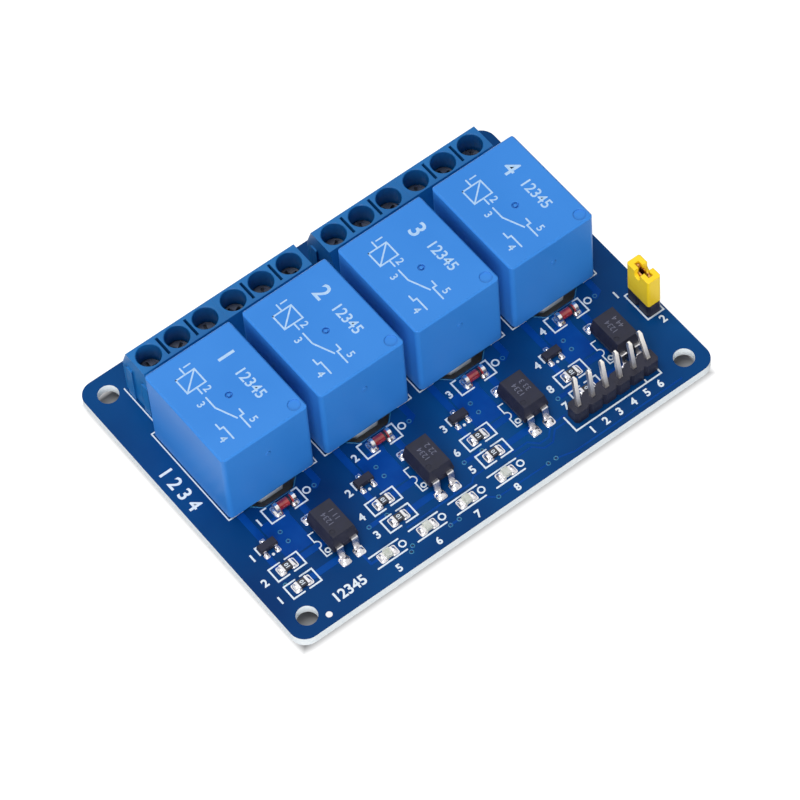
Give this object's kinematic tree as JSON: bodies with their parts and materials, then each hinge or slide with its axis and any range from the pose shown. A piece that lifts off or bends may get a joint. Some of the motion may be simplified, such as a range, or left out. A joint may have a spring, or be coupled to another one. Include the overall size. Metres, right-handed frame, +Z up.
{
  "type": "relay module board",
  "caption": "Relay circuit board with a row of sealed blue relays, screw terminals behind them, driver chips in front, a pin header and a jumper cap.",
  "frame": {"origin": "centre of the four mounting holes, on the underside of the circuit board", "axes": "+X along the row of relays, +Y towards the screw terminals, +Z up off the board"},
  "size_m": [0.075, 0.0546, 0.0185],
  "materials": {
    "board_mask": "satin",
    "solder": "gloss",
    "relay_cover": "satin",
    "black_plastic": "satin",
    "terminal_plastic": "satin",
    "tinned_copper": "gloss",
    "plated_steel": "satin",
    "mould_compound": "matte",
    "red_glass": "gloss",
    "ceramic": "satin",
    "clear_resin": "gloss",
    "brass": "satin",
    "yellow_plastic": "satin"
  },
  "bodies": {
    "board": {"circuit_board": "board_mask", "solder_joints": "solder", "relay_cover_1": "relay_cover", "relay_base_1": "black_plastic", "optocoupler_1": "mould_compound", "terminal_housing_1": "terminal_plastic", "relay_cover_2": "relay_cover", "relay_base_2": "black_plastic", "optocoupler_2": "mould_compound", "terminal_housing_2": "terminal_plastic", "relay_cover_3": "relay_cover", "relay_base_3": "black_plastic", "optocoupler_3": "mould_compound", "terminal_housing_3": "terminal_plastic", "relay_cover_4": "relay_cover", "relay_base_4": "black_plastic", "optocoupler_4": "mould_compound", "terminal_housing_4": "terminal_plastic", "relay_pins": "tinned_copper", "terminal_frames": "tinned_copper", "optocoupler_leads": "tinned_copper", "transistor_bodies": "mould_compound", "transistor_leads": "tinned_copper", "diode_tubes": "red_glass", "diode_caps": "tinned_copper", "resistor_chips": "ceramic", "resistor_ends": "solder", "led_chips": "clear_resin", "led_ends": "solder", "signal_header_base": "black_plastic", "signal_header_pins": "brass", "supply_header_base": "black_plastic", "supply_header_pins": "brass", "jumper_cap": "yellow_plastic", "jumper_contact": "brass"},
    "guard_1": {"wire_guard_1": "plated_steel"},
    "screw_1": {"clamp_screw_1": "plated_steel"},
    "guard_2": {"wire_guard_2": "plated_steel"},
    "screw_2": {"clamp_screw_2": "plated_steel"},
    "guard_3": {"wire_guard_3": "plated_steel"},
    "screw_3": {"clamp_screw_3": "plated_steel"},
    "guard_4": {"wire_guard_4": "plated_steel"},
    "screw_4": {"clamp_screw_4": "plated_steel"},
    "guard_5": {"wire_guard_5": "plated_steel"},
    "screw_5": {"clamp_screw_5": "plated_steel"},
    "guard_6": {"wire_guard_6": "plated_steel"},
    "screw_6": {"clamp_screw_6": "plated_steel"},
    "guard_7": {"wire_guard_7": "plated_steel"},
    "screw_7": {"clamp_screw_7": "plated_steel"},
    "guard_8": {"wire_guard_8": "plated_steel"},
    "screw_8": {"clamp_screw_8": "plated_steel"},
    "guard_9": {"wire_guard_9": "plated_steel"},
    "screw_9": {"clamp_screw_9": "plated_steel"},
    "guard_10": {"wire_guard_10": "plated_steel"},
    "screw_10": {"clamp_screw_10": "plated_steel"},
    "guard_11": {"wire_guard_11": "plated_steel"},
    "screw_11": {"clamp_screw_11": "plated_steel"},
    "guard_12": {"wire_guard_12": "plated_steel"},
    "screw_12": {"clamp_screw_12": "plated_steel"}
  },
  "joints": [
    {"name": "guard_1_lift", "type": "slide", "parent": "board", "child": "guard_1", "axis": [0, 0, 1], "range_m": [0, 0.00225]},
    {"name": "screw_1_turn", "type": "hinge", "parent": "guard_1", "child": "screw_1", "pos_m": [-0.02865, 0.0197, 0.0075], "axis": [0, 0, 1], "range_deg": [0, 1800]},
    {"name": "guard_2_lift", "type": "slide", "parent": "board", "child": "guard_2", "axis": [0, 0, 1], "range_m": [0, 0.00225]},
    {"name": "screw_2_turn", "type": "hinge", "parent": "guard_2", "child": "screw_2", "pos_m": [-0.02365, 0.0197, 0.0075], "axis": [0, 0, 1], "range_deg": [0, 1800]},
    {"name": "guard_3_lift", "type": "slide", "parent": "board", "child": "guard_3", "axis": [0, 0, 1], "range_m": [0, 0.00225]},
    {"name": "screw_3_turn", "type": "hinge", "parent": "guard_3", "child": "screw_3", "pos_m": [-0.01865, 0.0197, 0.0075], "axis": [0, 0, 1], "range_deg": [0, 1800]},
    {"name": "guard_4_lift", "type": "slide", "parent": "board", "child": "guard_4", "axis": [0, 0, 1], "range_m": [0, 0.00225]},
    {"name": "screw_4_turn", "type": "hinge", "parent": "guard_4", "child": "screw_4", "pos_m": [-0.01365, 0.0197, 0.0075], "axis": [0, 0, 1], "range_deg": [0, 1800]},
    {"name": "guard_5_lift", "type": "slide", "parent": "board", "child": "guard_5", "axis": [0, 0, 1], "range_m": [0, 0.00225]},
    {"name": "screw_5_turn", "type": "hinge", "parent": "guard_5", "child": "screw_5", "pos_m": [-0.00865, 0.0197, 0.0075], "axis": [0, 0, 1], "range_deg": [0, 1800]},
    {"name": "guard_6_lift", "type": "slide", "parent": "board", "child": "guard_6", "axis": [0, 0, 1], "range_m": [0, 0.00225]},
    {"name": "screw_6_turn", "type": "hinge", "parent": "guard_6", "child": "screw_6", "pos_m": [-0.00365, 0.0197, 0.0075], "axis": [0, 0, 1], "range_deg": [0, 1800]},
    {"name": "guard_7_lift", "type": "slide", "parent": "board", "child": "guard_7", "axis": [0, 0, 1], "range_m": [0, 0.00225]},
    {"name": "screw_7_turn", "type": "hinge", "parent": "guard_7", "child": "screw_7", "pos_m": [0.00445, 0.0197, 0.0075], "axis": [0, 0, 1], "range_deg": [0, 1800]},
    {"name": "guard_8_lift", "type": "slide", "parent": "board", "child": "guard_8", "axis": [0, 0, 1], "range_m": [0, 0.00225]},
    {"name": "screw_8_turn", "type": "hinge", "parent": "guard_8", "child": "screw_8", "pos_m": [0.00945, 0.0197, 0.0075], "axis": [0, 0, 1], "range_deg": [0, 1800]},
    {"name": "guard_9_lift", "type": "slide", "parent": "board", "child": "guard_9", "axis": [0, 0, 1], "range_m": [0, 0.00225]},
    {"name": "screw_9_turn", "type": "hinge", "parent": "guard_9", "child": "screw_9", "pos_m": [0.01445, 0.0197, 0.0075], "axis": [0, 0, 1], "range_deg": [0, 1800]},
    {"name": "guard_10_lift", "type": "slide", "parent": "board", "child": "guard_10", "axis": [0, 0, 1], "range_m": [0, 0.00225]},
    {"name": "screw_10_turn", "type": "hinge", "parent": "guard_10", "child": "screw_10", "pos_m": [0.01945, 0.0197, 0.0075], "axis": [0, 0, 1], "range_deg": [0, 1800]},
    {"name": "guard_11_lift", "type": "slide", "parent": "board", "child": "guard_11", "axis": [0, 0, 1], "range_m": [0, 0.00225]},
    {"name": "screw_11_turn", "type": "hinge", "parent": "guard_11", "child": "screw_11", "pos_m": [0.02445, 0.0197, 0.0075], "axis": [0, 0, 1], "range_deg": [0, 1800]},
    {"name": "guard_12_lift", "type": "slide", "parent": "board", "child": "guard_12", "axis": [0, 0, 1], "range_m": [0, 0.00225]},
    {"name": "screw_12_turn", "type": "hinge", "parent": "guard_12", "child": "screw_12", "pos_m": [0.02945, 0.0197, 0.0075], "axis": [0, 0, 1], "range_deg": [0, 1800]}
  ],
  "couplings": [
    {"joint": "screw_1_turn", "follows": "guard_1_lift", "rad_per_m": 13963},
    {"joint": "screw_2_turn", "follows": "guard_2_lift", "rad_per_m": 13963},
    {"joint": "screw_3_turn", "follows": "guard_3_lift", "rad_per_m": 13963},
    {"joint": "screw_4_turn", "follows": "guard_4_lift", "rad_per_m": 13963},
    {"joint": "screw_5_turn", "follows": "guard_5_lift", "rad_per_m": 13963},
    {"joint": "screw_6_turn", "follows": "guard_6_lift", "rad_per_m": 13963},
    {"joint": "screw_7_turn", "follows": "guard_7_lift", "rad_per_m": 13963},
    {"joint": "screw_8_turn", "follows": "guard_8_lift", "rad_per_m": 13963},
    {"joint": "screw_9_turn", "follows": "guard_9_lift", "rad_per_m": 13963},
    {"joint": "screw_10_turn", "follows": "guard_10_lift", "rad_per_m": 13963},
    {"joint": "screw_11_turn", "follows": "guard_11_lift", "rad_per_m": 13963},
    {"joint": "screw_12_turn", "follows": "guard_12_lift", "rad_per_m": 13963}
  ]
}
